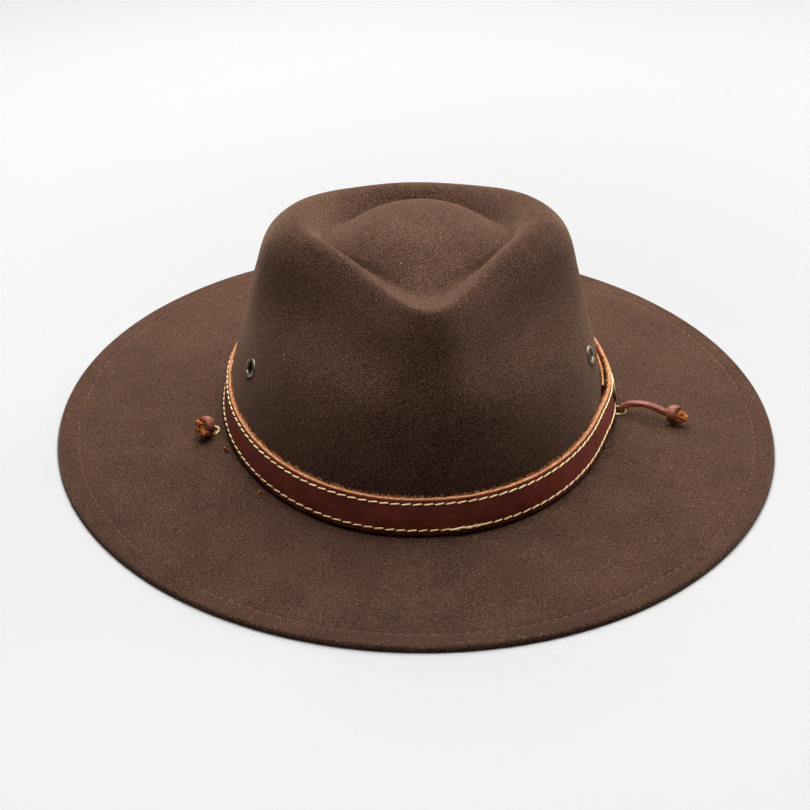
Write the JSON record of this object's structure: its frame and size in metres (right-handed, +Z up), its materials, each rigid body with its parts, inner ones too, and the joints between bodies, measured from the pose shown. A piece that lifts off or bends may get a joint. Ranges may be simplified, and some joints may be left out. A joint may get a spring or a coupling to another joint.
{
  "type": "hunting hat",
  "caption": "Wide-brimmed felt hat with a pinched crown, a stitched leather band lapped at one side, metal eyelets and a leather chin lace.",
  "frame": {"origin": "middle of the brim, on the surface that the hat rests on", "axes": "+Z up, the crown's pinched front faces -Y, and +X points to the wearer's left"},
  "size_m": [0.3332, 0.3684, 0.109],
  "materials": {
    "felt": "dark brown wool felt, slightly fuzzy",
    "band_leather": "satin red-brown face with raw tan edges",
    "lace_leather": "red-brown face with a rough orange flesh side",
    "brass": "pale tarnished brass",
    "nickel": "dull antique nickel plating"
  },
  "bodies": {
    "root": {"felt_body": "felt", "hatband_strap": "band_leather", "band_plate": "brass", "crown_eyelet_left": "nickel", "crown_eyelet_right": "nickel", "brim_eyelet_left": "brass", "brim_eyelet_right": "brass", "chin_lace": "lace_leather", "lace_knot_left": "lace_leather", "lace_knot_right": "lace_leather"}
  },
  "joints": []
}
